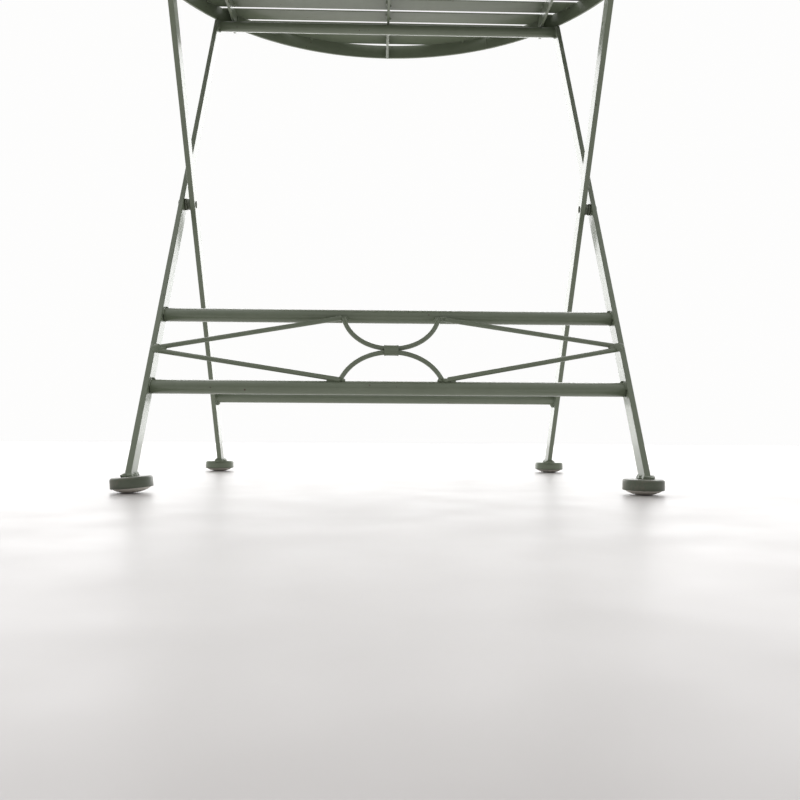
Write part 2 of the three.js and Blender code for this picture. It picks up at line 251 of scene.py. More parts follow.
def chip_group():
    """Small ragged chips in a coating, in a few cells picked by chance, from 0 to 1."""
    group, given, made = start_group(
        "Coating Chips",
        {
            "Vector": (VECTOR, None),
            "Scale": (FLOAT, 130.0),
            "Tear Scale": (FLOAT, 900.0),
            "Size": (FLOAT, 0.14),
            "Cover": (FLOAT, 0.1),
        },
        {"Mask": FLOAT},
    )
    cells = add_node(group, "ShaderNodeTexVoronoi", Vector=given["Vector"], Scale=given["Scale"])
    torn = noise_value(group, given["Vector"], given["Tear Scale"], detail=2.0)
    ragged = remap(group, torn, (0.3, 0.7), (-0.05, 0.05))
    distance = calculate(group, "ADD", cells.outputs["Distance"], ragged)
    core = calculate(group, "MULTIPLY", given["Size"], 0.75)
    inside = remap(group, distance, (core, given["Size"]), (1.0, 0.0))
    chance = add_node(group, "ShaderNodeSeparateColor", Color=cells.outputs["Color"]).outputs["Red"]
    picked = calculate(group, "LESS_THAN", chance, given["Cover"])
    group.links.new(calculate(group, "MULTIPLY", inside, picked), made["Mask"])
    return group


def dust_group():
    """Dust lying on faces that look up, thicker in drifts, from 0 to 1."""
    group, given, made = start_group(
        "Settled Dust",
        {"Vector": (VECTOR, None), "Scale": (FLOAT, 45.0), "Amount": (FLOAT, 0.2)},
        {"Mask": FLOAT},
    )
    normal = group.nodes.new("ShaderNodeNewGeometry").outputs["Normal"]
    facing = remap(group, add_node(group, "ShaderNodeSeparateXYZ", Vector=normal).outputs["Z"], (0.45, 0.95))
    lying = noise_value(group, given["Vector"], given["Scale"], detail=5.0, roughness=0.65)
    drifts = remap(group, lying, (0.35, 0.7), (0.3, 1.0))
    cover = calculate(group, "MULTIPLY", facing, drifts)
    group.links.new(calculate(group, "MULTIPLY", cover, given["Amount"]), made["Mask"])
    return group


TONE_DRIFT = tone_drift_group()
COATING_SKIN = skin_group()
SCUFFS = scuff_group()
CHIPS = chip_group()
SETTLED_DUST = dust_group()


def start_material(name):
    """A new material with its tree, its shader and the surface's own coordinates in metres."""
    material = bpy.data.materials.new(name)
    material.use_nodes = True
    tree = material.node_tree
    surface = tree.nodes["Principled BSDF"]
    position = tree.nodes.new("ShaderNodeTexCoord").outputs["Object"]
    return material, tree, surface, position


SCUFF_STRENGTH = 0.35  # how far a scuff shows the rubbed colour
GRAIN_ROUGHNESS = 0.12  # how much a fine grain varies the roughness
GRAIN_SCALE = 150.0
DUST_ROUGHNESS = 0.5  # what full dust adds to the roughness
CHIP_DEPTH = 3.0  # of a chip, in heights of the skin's peel


def coated_material(
    name, thin, thick, bare, under, dust, rough, peel_depth, scuff_cover, chip_cover, dust_amount
):
    """A coated surface: drifting tone, rubbed streaks, chips, a little dust and a sprayed skin.

    thin, thick, bare, under and dust are colours: bare shows in the scuffs and under in the chips.
    rough is the roughness where it is clean and where it is rubbed, and peel_depth is in millimetres.
    """
    material, tree, surface, position = start_material(name)
    tone = use_group(tree, TONE_DRIFT, Vector=position, Thin=thin, Thick=thick)["Colour"]
    scuffs = use_group(tree, SCUFFS, Vector=position, Cover=scuff_cover)["Mask"]
    chips = use_group(tree, CHIPS, Vector=position, Cover=chip_cover)["Mask"]
    dusty = use_group(tree, SETTLED_DUST, Vector=position, Amount=dust_amount)["Mask"]

    rubbed = mix_colours(tree, calculate(tree, "MULTIPLY", scuffs, SCUFF_STRENGTH), tone, bare)
    chipped = mix_colours(tree, chips, rubbed, under)
    tree.links.new(mix_colours(tree, dusty, chipped, dust), surface.inputs["Base Color"])

    worn = remap(tree, scuffs, (0.0, 1.0), rough)
    grain = calculate(tree, "SUBTRACT", noise_value(tree, position, GRAIN_SCALE, detail=4.0), 0.5)
    grained = calculate(tree, "MULTIPLY_ADD", grain, GRAIN_ROUGHNESS, worn)
    roughness = calculate(tree, "MULTIPLY_ADD", dusty, DUST_ROUGHNESS, grained)
    tree.links.new(roughness, surface.inputs["Roughness"])

    sprayed = use_group(tree, COATING_SKIN, Vector=position)["Height"]
    height = calculate(tree, "MULTIPLY_ADD", chips, -CHIP_DEPTH, sprayed)
    relief = add_node(tree, "ShaderNodeBump", Strength=1.0, Distance=peel_depth * MM, Height=height)
    tree.links.new(relief.outputs["Normal"], surface.inputs["Normal"])
    return material, surface


def set_coat(surface, weight, roughness):
    surface.inputs["Coat Weight"].default_value = weight
    surface.inputs["Coat Roughness"].default_value = roughness


def paint_material():
    """Semi-gloss grey-green oven paint."""
    material, surface = coated_material(
        "sage_paint",
        thin=(0.149, 0.177, 0.122, 1),
        thick=(0.127, 0.152, 0.101, 1),
        bare=(0.17, 0.19, 0.14, 1),
        under=(0.060, 0.040, 0.026, 1),
        dust=(0.42, 0.40, 0.36, 1),
        rough=(0.36, 0.5),
        peel_depth=0.05,
        scuff_cover=0.3,
        chip_cover=0.1,
        dust_amount=0.12,
    )
    set_coat(surface, 0.25, 0.12)
    return material


def shaded_worn_cup_material():
    """The same paint on the ornamented side's foot cups in a darker copy, which is painted shade, and more
    dulled, scuffed and chipped.
    """
    material, surface = coated_material(
        "shaded_worn_cup_paint",
        # thin and thick are darker than the sage paint's: painted shade on these cups; bare, under and the
        # heavier scuffs and chips are wear
        thin=(0.084, 0.100, 0.066, 1),
        thick=(0.056, 0.068, 0.044, 1),
        bare=(0.15, 0.13, 0.10, 1),
        under=(0.045, 0.030, 0.020, 1),
        dust=(0.42, 0.40, 0.36, 1),
        rough=(0.42, 0.62),
        peel_depth=0.08,
        scuff_cover=0.5,
        chip_cover=0.3,
        dust_amount=0.2,
    )
    set_coat(surface, 0.15, 0.2)
    return material


def hardware_material():
    """Rivets, spacers and washers: the same paint sprayed over steel, worn thin by the turning."""
    material, surface = coated_material(
        "painted_hardware",
        thin=(0.125, 0.140, 0.100, 1),
        thick=(0.085, 0.096, 0.066, 1),
        bare=(0.33, 0.32, 0.29, 1),
        under=(0.100, 0.070, 0.050, 1),
        dust=(0.36, 0.34, 0.30, 1),
        rough=(0.34, 0.45),
        peel_depth=0.06,
        scuff_cover=0.42,
        chip_cover=0.25,
        dust_amount=0.1,
    )
    surface.inputs["Metallic"].default_value = 0.25
    set_coat(surface, 0.4, 0.2)
    return material


def glide_material():
    """Pale moulded plastic under the feet."""
    material, surface = coated_material(
        "glide_plastic",
        thin=(0.84, 0.80, 0.73, 1),
        thick=(0.76, 0.72, 0.65, 1),
        bare=(0.50, 0.47, 0.42, 1),
        under=(0.20, 0.17, 0.14, 1),
        dust=(0.40, 0.37, 0.32, 1),
        rough=(0.45, 0.6),
        peel_depth=0.03,
        scuff_cover=0.5,
        chip_cover=0.12,
        dust_amount=0.1,
    )
    surface.inputs["IOR"].default_value = 1.46
    return material


PAINT = paint_material()
SHADED_WORN_CUP_PAINT = shaded_worn_cup_material()
HARDWARE = hardware_material()
GLIDE = glide_material()
# the ornamented side's cups get the darker copy of the paint, which is painted shade
CUP_PAINTS = {"outer": SHADED_WORN_CUP_PAINT, "inner": PAINT}


# ---- Mesh helpers ----
SHARP_ANGLE = math.radians(40)  # edges sharper than this are rounded where a piece asks for it
ROD_SIDES = 24
BEAD_SIDES = 14
TUBE_SIDES = 64
FOOT_SIDES = 72
HARDWARE_SIDES = 48
HOOP_SIDES = 256


class Shape:
    """Points in millimetres and faces, gathered from several parts into one mesh."""

    def __init__(self):
        self.points = []
        self.faces = []

    def add(self, points, faces, place=PLAIN):
        start = len(self.points)
        self.points.extend(place @ Vector(p) for p in points)
        self.faces.extend([start + i for i in face] for face in faces)
        return self


def add_piece(name, shape, material, body, nodes=(), corner=0.0, corner_steps=3):
    """Makes the mesh and lets it ride on its body. corner is a rounding for its sharp edges."""
    mesh = bpy.data.meshes.new(name)
    mesh.from_pydata([p * MM for p in shape.points], [], shape.faces)
    mesh.validate()
    mesh.polygons.foreach_set("use_smooth", [True] * len(mesh.polygons))
    mesh.materials.append(material)
    piece = bpy.data.objects.new(name, mesh)
    bpy.context.scene.collection.objects.link(piece)
    if corner:
        rounding = piece.modifiers.new("rounded_edges", "BEVEL")
        rounding.width = corner * MM
        rounding.segments = corner_steps
        rounding.limit_method = "ANGLE"
        rounding.angle_limit = SHARP_ANGLE
        rounding.harden_normals = True
    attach(piece, body)
    if nodes:
        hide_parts(*nodes)


def ring_faces(ring_count, ring_size, closed):
    """Quads between rings of ring_size points; closed joins the last ring to the first."""
    faces = []
    for i in range(ring_count if closed else ring_count - 1):
        a = i * ring_size
        b = ((i + 1) % ring_count) * ring_size
        for j in range(ring_size):
            k = (j + 1) % ring_size
            faces.append([a + j, a + k, b + k, b + j])
    return faces


def end_caps(ring_count, ring_size):
    """One face over the first ring and one over the last."""
    first = list(range(ring_size))[::-1]
    last = [(ring_count - 1) * ring_size + j for j in range(ring_size)]
    return [first, last]


def sweep(shape, path, radii, sides, place=PLAIN, closed=False):
    """A round rod along path with a radius for each point; open ends are capped."""
    path = [Vector(p) for p in path]
    count = len(path)
    points = []
    side = None
    for i, here in enumerate(path):
        before = path[i - 1] if closed or i else here
        after = path[(i + 1) % count] if closed or i < count - 1 else here
        heading = (after - before).normalized()
        if side is None:
            side = heading.orthogonal().normalized()
        side = (side - heading * side.dot(heading)).normalized()
        up = heading.cross(side)
        for j in range(sides):
            turn = 2 * math.pi * j / sides
            points.append(here + (side * math.cos(turn) + up * math.sin(turn)) * radii[i])
    faces = ring_faces(count, sides, closed)
    if not closed:
        faces.extend(end_caps(count, sides))
    return shape.add(points, faces, place)


def rod(shape, path, radius, place, end_round=0.6):
    """A rod of even thickness whose cut ends have a small rounding."""
    path = [Vector(p) for p in path]
    first = (path[1] - path[0]).normalized() * end_round
    last = (path[-2] - path[-1]).normalized() * end_round
    full = [path[0], path[0] + first, *path[1:-1], path[-1] + last, path[-1]]
    radii = [radius - end_round, *([radius] * (len(full) - 2)), radius - end_round]
    return sweep(shape, full, radii, ROD_SIDES, place)


def turned(shape, profile, segments, place=PLAIN):
    """A turned solid about local Z from (radius, z) points that start and end on the axis."""
    points = [(0, 0, profile[0][1])]
    for radius, z in profile[1:-1]:
        for j in range(segments):
            turn = 2 * math.pi * j / segments
            points.append((radius * math.cos(turn), radius * math.sin(turn), z))
    points.append((0, 0, profile[-1][1]))
    last = len(points) - 1
    rings = len(profile) - 2
    faces = [[1 + i for i in face] for face in ring_faces(rings, segments, False)]
    for j in range(segments):
        k = (j + 1) % segments
        faces.append([0, 1 + k, 1 + j])
        faces.append([last, last - segments + j, last - segments + k])
    return shape.add(points, faces, place)


def turned_ring(shape, profile, segments, place=PLAIN):
    """A turned ring about local Z whose (radius, z) profile closes on itself."""
    points = []
    for j in range(segments):
        turn = 2 * math.pi * j / segments
        points.extend((r * math.cos(turn), r * math.sin(turn), z) for r, z in profile)
    return shape.add(points, ring_faces(segments, len(profile), True), place)


def prism(shape, near, far, place=PLAIN):
    """A solid between two matching flat outlines."""
    faces = end_caps(2, len(near)) + ring_faces(2, len(near), False)
    return shape.add([*near, *far], faces, place)


def plate(shape, outline, thickness, place=PLAIN):
    """An outline in (y, z) given thickness along X, centred on x = 0."""
    near = [(-thickness / 2, y, z) for y, z in outline]
    far = [(thickness / 2, y, z) for y, z in outline]
    return prism(shape, near, far, place)


def arc_points(centre, radius, start, end, steps):
    """Points round an arc, from the angle start to the angle end."""
    turns = [start + (end - start) * i / steps for i in range(steps + 1)]
    return [(centre[0] + radius * math.cos(t), centre[1] + radius * math.sin(t)) for t in turns]


def spun_about_x(spot, side):
    """Places a turned piece at spot in (y, z), its axis along X and its far end away from the middle."""
    return Matrix.Translation((0, *spot)) @ Matrix.Rotation(side * math.pi / 2, 4, "Y")


# ---- Welds ----
RIPPLE_PITCH = 1.7  # between the crescents a weld leaves
RIPPLE_DEPTH = 0.1  # of the crescents, as a share of the bead's radius
BEAD_START = 0.35  # a bead's radius at its two ends, as a share of its full radius
BLOB_RINGS = 14
BLOB_SEGMENTS = 24


def lumpiness(point, size, seed):
    """Smooth unevenness from -1 to 1 that changes over about size; each seed gives its own."""
    return noise.noise(Vector(point) / size + Vector((seed * 7.3, seed * 3.1, seed * 5.7)))


def bead(shape, path, radius, seed, place=PLAIN, closed=False, uneven=0.28):
    """A weld bead along path: rippled, uneven, and thin where it starts and stops."""
    path = [Vector(p) for p in path]
    travelled = [0.0]
    for a, b in zip(path, path[1:]):
        travelled.append(travelled[-1] + (b - a).length)
    length = travelled[-1]
    radii = []
    for here, at in zip(path, travelled):
        ripple = 1 + RIPPLE_DEPTH * math.cos(2 * math.pi * at / RIPPLE_PITCH)
        lump = 1 + uneven * lumpiness(here, 4.0, seed)
        taper = 1.0 if closed else min(1.0, BEAD_START + min(at, length - at) / (1.5 * radius))
        radii.append(radius * ripple * lump * taper)
    return sweep(shape, path, radii, BEAD_SIDES, place, closed)


def dense(corners, spacing=0.45, closed=False):
    """Corners joined by points a short spacing apart."""
    corners = [Vector(c) for c in corners]
    ends = corners[1:] + corners[:1] if closed else corners[1:]
    path = []
    for a, b in zip(corners, ends):
        steps = max(1, round((b - a).length / spacing))
        path.extend(a.lerp(b, i / steps) for i in range(steps))
    return path if closed else path + [corners[-1]]


def blob(shape, centre, size, seed, place=PLAIN, uneven=0.22):
    """A lump of weld metal; size is its half extent along each axis."""
    points = []
    for i in range(BLOB_RINGS + 1):
        rise = math.pi * i / BLOB_RINGS
        for j in range(BLOB_SEGMENTS):
            turn = 2 * math.pi * j / BLOB_SEGMENTS
            way = Vector((math.sin(rise) * math.cos(turn), math.sin(rise) * math.sin(turn), math.cos(rise)))
            swell = 1 + uneven * (lumpiness(way, 0.9, seed) + 0.4 * lumpiness(way, 0.5, seed + 1))
            points.append([centre[k] + way[k] * size[k] * swell for k in range(3)])
    return shape.add(points, ring_faces(BLOB_RINGS + 1, BLOB_SEGMENTS, False), place)


# ---- Legs ----
CUP_TOP = 16.2


def leg_outline(feet_side):
    """Cut level with the floor at the foot and rounded at the top."""
    half = BAR_WIDTH / 2
    cut = along(CUP_TOP)
    slant = -feet_side * half * math.tan(LEAN)
    return [(-half, cut - slant), (half, cut + slant), *arc_points((0, FOLD_ARM), half, 0, math.pi, 24)]


def make_legs():
    for which, leg_x, feet_side in (("outer", OUTER_LEG_X, -1), ("inner", INNER_LEG_X, 1)):
        for word, side in SIDES:
            place = LEANS[which] @ Matrix.Translation((side * leg_x, 0, 0))
            leg = plate(Shape(), leg_outline(feet_side), BAR_THICKNESS, place)
            name = f"{which}_leg_{word}"
            add_piece(f"{name}_bar", leg, PAINT, f"{which}_frame", [name], BAR_CORNER, 4)


# ---- Stretcher tubes and their welds ----
TUBE_GAP = 0.7  # each tube stops this far short of its legs and the weld fills it from above
TUBE_WELD = 1.05  # bead radius where a tube meets a leg


def tube_shape(half_length, place):
    """An open thin-walled tube along X with slightly rounded rims."""
    inside = TUBE_RADIUS - TUBE_WALL
    rim = 0.3
    profile = [
        (inside, -half_length),
        (TUBE_RADIUS - rim, -half_length),
        (TUBE_RADIUS, -half_length + rim),
        (TUBE_RADIUS, half_length - rim),
        (TUBE_RADIUS - rim, half_length),
        (inside, half_length),
    ]
    return turned_ring(Shape(), profile, TUBE_SIDES, place @ Matrix.Rotation(math.pi / 2, 4, "Y"))


def tube_weld(shape, face_x, side, distance, place, seed, reach):
    """A bead round a tube's end from its top, reach degrees each way, with a lump on it at the top."""
    bead_x = side * (face_x - 0.4)
    radius = TUBE_RADIUS + 0.1
    half_steps = 60
    path = []
    for step in range(-half_steps, half_steps + 1):
        turn = math.radians(reach) * step / half_steps
        path.append((bead_x, radius * math.sin(turn), distance + radius * math.cos(turn)))
    bead(shape, path, TUBE_WELD, seed, place)
    lump = (side * (face_x - 1.6), -1.5, distance + TUBE_RADIUS + 1.0)
    blob(shape, lump, (2.4, 2.8, 1.3), seed + 3, place)


def under_fillet(shape, face_x, side, distance, place, seed):
    """The lump that fills the corner under the end of one of the inner frame's tubes."""
    corner = (side * (face_x - 1.2), 0, distance - TUBE_RADIUS - 1.0)
    blob(shape, corner, (4.2, 3.2, 4.6), seed, place, 0.25)


# Name, frame, distance from the pivot, and how far round each weld goes in degrees.
STRETCHERS = (
    ("outer_upper_stretcher", "outer", along(UPPER_STRETCHER_HEIGHT), 128),
    ("outer_lower_stretcher", "outer", along(LOWER_STRETCHER_HEIGHT), 122),
    ("outer_top_crossbar", "outer", FOLD_ARM, 170),
    ("inner_lower_stretcher", "inner", along(LOWER_STRETCHER_HEIGHT), 160),
    ("inner_top_crossbar", "inner", along(INNER_CROSSBAR_HEIGHT), 165),
)


def make_stretchers():
    for index, (name, which, distance, reach) in enumerate(STRETCHERS):
        body = f"{which}_frame"
        lean = LEANS[which]
        face_x = INNER_FACES[which]
        tube = tube_shape(face_x - TUBE_GAP, lean @ Matrix.Translation((0, 0, distance)))
        add_piece(f"{name}_tube", tube, PAINT, body, [name])
        welds = Shape()
        for _, side in SIDES:
            seed = 5 * index + side
            tube_weld(welds, face_x, side, distance, lean, seed, reach)
            if which == "inner":
                under_fillet(welds, face_x, side, distance, lean, seed + 30)
        add_piece(f"{name}_welds", welds, PAINT, body)


# ---- Ornament ----
ORNAMENT_Y = -8.4  # in front of the tubes' axes
ORNAMENT_X = 2  # the whole ornament sits a little to the right
ROD_REACH = math.sqrt((TUBE_RADIUS + ROD_RADIUS + 0.3) ** 2 - ORNAMENT_Y**2)
UPPER_ROD_END = along(UPPER_STRETCHER_HEIGHT) - ROD_REACH
LOWER_ROD_END = along(LOWER_STRETCHER_HEIGHT) + ROD_REACH
ORNAMENT_DROP = 5
ORNAMENT_MIDDLE = (UPPER_ROD_END + LOWER_ROD_END) / 2 - ORNAMENT_DROP
ARC_SPACING = 2 * ROD_RADIUS - 0.6  # pinched together inside the collar
ARC_HALF_CHORD = {"upper": 56.6, "lower": 56.4}
ARC_FULLNESS = 0.5  # how far the shoulders bulge past a true circle
ARC_END_SHARE = {"upper": 0.965, "lower": 1.015}  # how much of the full arc each rod covers
BRACE_APEX = {"left": -0.6, "right": 6.6}  # where each pair meets the leg, above the ornament's middle
BRACE_APEX_SPACING = 3
BRACE_TIP_OVERLAP = 1.2  # of the rods' tips with the leg's inner face
BRACE_OVERLAP = {"left": 6.0, "right": 1.2}  # the left-hand braces run on past the arcs' feet
BRACE_DROP = {"upper": 3.6, "lower": 0.7}  # the braces sit a little low on both tubes
BRACE_ARC_CLEARANCE = 2 * ROD_RADIUS + 2
WELD_RISE = {"upper": -1.2, "lower": -1.6}  # of the lumps at the tubes, from the rods' drawn ends
ORNAMENT = OUTER_LEAN @ Matrix.Translation((ORNAMENT_X, ORNAMENT_Y, 0))
LEVELS = (("upper", 1, UPPER_ROD_END), ("lower", -1, LOWER_ROD_END))


def arc_path(half_chord, end, bulge, end_share):
    """The middle line of a bent rod, from its ends at height end to its middle at height bulge."""
    sagitta = abs(end - bulge)
    radius = (half_chord**2 + sagitta**2) / (2 * sagitta)
    half_angle = math.asin(half_chord / radius)
    direction = math.copysign(1, end - bulge)
    steps = 72
    path = []
    for i in range(steps + 1):
        turn = half_angle * end_share * (2 * i / steps - 1)
        share = abs(radius * math.sin(turn)) / half_chord
        fuller = ARC_FULLNESS * 4 * share**2 * (1 - share**2)
        rise = radius * (1 - math.cos(turn)) - fuller
        path.append(Vector((radius * math.sin(turn), 0, bulge + direction * rise)))
    return path


def brace_ends(level, sign, end, word, side):
    """The brace's foot on the tube and its end at the leg."""
    tube_x = side * (ARC_HALF_CHORD[level] + BRACE_ARC_CLEARANCE)
    foot = Vector((tube_x, 0, end))
    apex = ORNAMENT_MIDDLE + BRACE_APEX[word] + sign * BRACE_APEX_SPACING / 2
    leg_x = side * OUTER_INNER_FACE - ORNAMENT_X
    tip = Vector((leg_x + side * BRACE_TIP_OVERLAP, 0, apex))
    foot += (foot - tip).normalized() * BRACE_OVERLAP[word]
    foot.z -= BRACE_DROP[level]
    return foot, tip


def make_rods():
    for level, sign, end in LEVELS:
        bulge = ORNAMENT_MIDDLE + sign * ARC_SPACING / 2
        path = arc_path(ARC_HALF_CHORD[level], end, bulge, ARC_END_SHARE[level])
        arc = rod(Shape(), path, ROD_RADIUS, ORNAMENT)
        add_piece(f"{level}_arc_bent_rod", arc, PAINT, "outer_frame", [f"{level}_arc_rod"])
        for word, side in SIDES:
            brace = rod(Shape(), brace_ends(level, sign, end, word, side), ROD_RADIUS, ORNAMENT)
            name = f"{level}_brace_{word}"
            add_piece(f"{name}_rod", brace, PAINT, "outer_frame", [name])


# Lumps where the rods meet a tube: x past the arc's end, y, half extents, step in seed, unevenness.
ROD_LUMPS = (
    (BRACE_ARC_CLEARANCE / 2 + 1.0, 1.2, (5.2, 3.7, 2.6), 0, 0.35),
    (-1.8, 1.6, (3.0, 3.4, 1.9), 9, 0.35),
    (BRACE_ARC_CLEARANCE + 4.4, 3.0, (4.4, 2.6, 1.7), 17, 0.22),
)
# Heavier lumps where two braces meet a leg: x past the leg's face, y, z above where they meet, and
# then the same values.
APEX_LUMPS = (
    (-1.0, -1.6, 0.4, (6.0, 3.2, 6.2), 0, 0.3),
    (-6.0, -0.2, 0.0, (6.4, 2.7, 3.4), 5, 0.25),
    (2.6, -1.8, 2.4, (2.6, 2.0, 3.2), 8, 0.25),
)


def make_ornament_welds():
    welds = Shape()
    seed = 40
    for level, _, end in LEVELS:
        height = end + WELD_RISE[level]
        for _, side in SIDES:
            seed += 1
            for past, y, size, step, uneven in ROD_LUMPS:
                spot = (side * (ARC_HALF_CHORD[level] + past), y, height)
                blob(welds, spot, size, seed + step, ORNAMENT, uneven)
    for word, side in SIDES:
        seed += 1
        apex = ORNAMENT_MIDDLE + BRACE_APEX[word]
        leg_x = side * OUTER_INNER_FACE - ORNAMENT_X
        for past, y, above, size, step, uneven in APEX_LUMPS:
            blob(welds, (leg_x + side * past, y, apex + above), size, seed + step, ORNAMENT, uneven)
    add_piece("ornament_welds", welds, PAINT, "outer_frame")


# ---- Collar: a strip of sheet wrapped round both arcs, its ends lapped at the back ----
COLLAR_LENGTH = 16.4
COLLAR_WALL = 0.9
COLLAR_LAP = 3.0
COLLAR_FLARE = 0.5


def collar_track():
    """The strip's inner line in (y, z), starting and ending with a lap behind the rods."""
    half_depth = ROD_RADIUS + 0.35
    half_height = ARC_SPACING / 2 + ROD_RADIUS + 0.05
    corner = half_depth * 0.85
    corners = (
        (half_depth - corner, half_height - corner, 0.0, math.pi / 2),
        (-half_depth + corner, half_height - corner, math.pi / 2, math.pi),
        (-half_depth + corner, -half_height + corner, math.pi, 1.5 * math.pi),
        (half_depth - corner, -half_height + corner, 1.5 * math.pi, 2 * math.pi),
    )
    track = [(half_depth, -COLLAR_LAP / 2), (half_depth, 0.0)]
    for y, z, start, end in corners:
        track.extend(arc_points((y, z), corner, start, end, 8))
    lap = COLLAR_WALL + 0.1
    track.extend([(half_depth, -2.4), (half_depth + lap, -1.6), (half_depth + lap, COLLAR_LAP / 2)])
    return track


def make_collar():
    """The strip swept along X, swelling a little towards its two open ends."""
    track = [Vector((y, z)) for y, z in collar_track()]
    normals = []
    for i in range(len(track)):
        ahead = track[min(i + 1, len(track) - 1)] - track[max(i - 1, 0)]
        normals.append(Vector((ahead.y, -ahead.x)).normalized())
    half_steps = 8
    points = []
    for step in range(-half_steps, half_steps + 1):
        share = step / half_steps
        swell = COLLAR_FLARE * abs(share) ** 6
        x = share * COLLAR_LENGTH / 2
        inner = [p + n * swell for p, n in zip(track, normals)]
        outer = [p + n * (swell + COLLAR_WALL) for p, n in zip(track, normals)]
        points.extend((x, p.x, p.y) for p in inner + outer[::-1])
    rings = 2 * half_steps + 1
    section = 2 * len(track)
    faces = ring_faces(rings, section, False) + end_caps(rings, section)
    place = ORNAMENT @ Matrix.Translation((0, 0, ORNAMENT_MIDDLE))
    collar = Shape().add(points, faces, place)
    add_piece("ornament_wrapped_collar", collar, PAINT, "outer_frame", ["ornament_collar"], 0.18, 2)


# ---- Feet ----
CUP_RADIUS = 21.5
CUP_RIM = 4.8
GLIDE_CONTACT_RADIUS = 7.5
GLIDE_ROCK = 6.0  # from a glide's middle to the edge of its flat, which a tilted foot stands on
FOOT_TILT = {  # in degrees; a cup and its glide tilt together
    ("outer", "left"): 4.8,
    ("outer", "right"): -0.6,
    ("inner", "left"): 0.5,
    ("inner", "right"): -0.4,
}
# Frame, the cups' and the legs' distance from the middle, and the side of the pivot they stand on.
FEET = (("outer", OUTER_CUP_X, OUTER_LEG_X, -1), ("inner", INNER_CUP_X, INNER_LEG_X, 1))


def cup_shape(place):
    """A pressed cap: flat crown, rounded shoulder, straight skirt with a rolled lower edge."""
    wall = 1.5
    shoulder = 2.6
    inside = CUP_RADIUS - wall
    crown = arc_points((CUP_RADIUS - shoulder, CUP_TOP - shoulder), shoulder, math.pi / 2, 0, 10)
    lip = arc_points((CUP_RADIUS - wall / 2, CUP_RIM + wall / 2), wall / 2, 0, -math.pi, 8)
    under = [(inside, CUP_TOP - wall - 1), (inside - 1, CUP_TOP - wall), (0, CUP_TOP - wall)]
    return turned(Shape(), [(0, CUP_TOP), *crown, *lip, *under], FOOT_SIDES, place)


def glide_shape(place):
    """A dished plastic disc that stands on its flat middle and fills the cup."""
    radius = CUP_RADIUS - 2.0
    top = 12
    profile = [
        (0, 0),
        (GLIDE_CONTACT_RADIUS - 1.5, 0),
        (GLIDE_CONTACT_RADIUS, 0.15),
        (GLIDE_CONTACT_RADIUS + 3, 0.7),
        (GLIDE_CONTACT_RADIUS + 6, 1.6),
        (radius - 3, 2.9),
        (radius - 1, 4.0),
        (radius, 5.4),
        (radius, top),
        (0, top),
    ]
    return turned(Shape(), profile, FOOT_SIDES, place)


FOOT_WELD_X = BAR_THICKNESS / 2 + 0.8  # half the size of the bead's run round a leg's end
FOOT_WELD_Y = BAR_WIDTH / 2 / math.cos(LEAN) + 0.6
# Lumps on that run: centre from the middle of the leg's end, and half extents.
FOOT_LUMPS = (
    ((-3.2, -FOOT_WELD_Y, 1.2), (3.6, 3.0, 2.4)),
    ((2.6, -FOOT_WELD_Y - 0.3, 1.0), (2.8, 2.6, 2.0)),
    ((FOOT_WELD_X + 1.6, -6, 1.0), (3.0, 4.0, 2.4)),
    ((-FOOT_WELD_X - 1.6, -3, 1.0), (2.6, 4.4, 2.2)),
    ((FOOT_WELD_X + 1.8, 5, 0.8), (2.8, 3.6, 1.8)),
    ((0.5, FOOT_WELD_Y + 0.4, 1.0), (3.4, 2.4, 2.0)),
)


def foot_weld(leg_x, feet_side, side, seed):
    """A rough collar of weld round the leg's level-cut end: two passes of bead and some lumps."""
    welds = Shape()
    cut_y = feet_side * (FOOT_SPREAD / 2 - CUP_TOP * math.tan(LEAN))
    place = Matrix.Translation((side * leg_x, cut_y, CUP_TOP))
    corner_signs = ((-1, -1), (1, -1), (1, 1), (-1, 1))
    lower = [(i * FOOT_WELD_X, j * FOOT_WELD_Y, 0.6) for i, j in corner_signs]
    bead(welds, dense(lower, closed=True), 2.3, seed, place, True, 0.55)
    upper = [(x * 0.86, y * 0.94 - feet_side * 1.2, z + 2.0) for x, y, z in lower]
    bead(welds, dense(upper, closed=True), 1.3, seed + 2, place, True, 0.6)
    for step, (spot, size) in enumerate(FOOT_LUMPS):
        blob(welds, spot, size, seed + 4 + 2 * step, place, 0.45)
    return welds


def foot_place(which, word, side, cup_x, feet_side):
    """Where a cup and its glide stand, tilted about the edge of the glide's flat."""
    tilt = FOOT_TILT[which, word]
    middle = Matrix.Translation((side * cup_x, feet_side * FOOT_SPREAD / 2, 0))
    rocked_on = Matrix.Translation((-math.copysign(GLIDE_ROCK, tilt), 0, 0))
    return middle @ rocked_on @ Matrix.Rotation(math.radians(-tilt), 4, "Y") @ rocked_on.inverted()


def make_feet():
    seed = 80
    for which, cup_x, leg_x, feet_side in FEET:
        body = f"{which}_frame"
        for word, side in SIDES:
            seed += 11
            place = foot_place(which, word, side, cup_x, feet_side)
            cup = f"{which}_foot_cup_{word}"
            glide = f"{which}_foot_glide_{word}"
            add_piece(f"{cup}_pressing", cup_shape(place), CUP_PAINTS[which], body, [cup])
            add_piece(f"{glide}_moulding", glide_shape(place), GLIDE, body, [glide])
            welds = foot_weld(leg_x, feet_side, side, seed)
            add_piece(f"{which}_foot_weld_{word}", welds, PAINT, body)


# ---- Pivots and hinges ----
PIVOT_SPOT = (0, PIVOT_HEIGHT)  # the two axes that run along X, as (y, z)
HINGE_SPOT = (-FOLD_AXIS_Y, FOLD_AXIS_HEIGHT)


def dome(face, outward, radius, height):
    """A peened rivet head as (radius, x) points from its face to its crown."""
    rim = 0.4
    steps = 8
    profile = [(radius - 0.5, face), (radius, face + outward * rim)]
    for step in range(1, steps):
        turn = step / steps * math.pi / 2
        rise = rim + (height - rim) * math.sin(turn)
        profile.append((radius * math.cos(turn) ** 0.9, face + outward * rise))
    return profile + [(0, face + outward * height)]


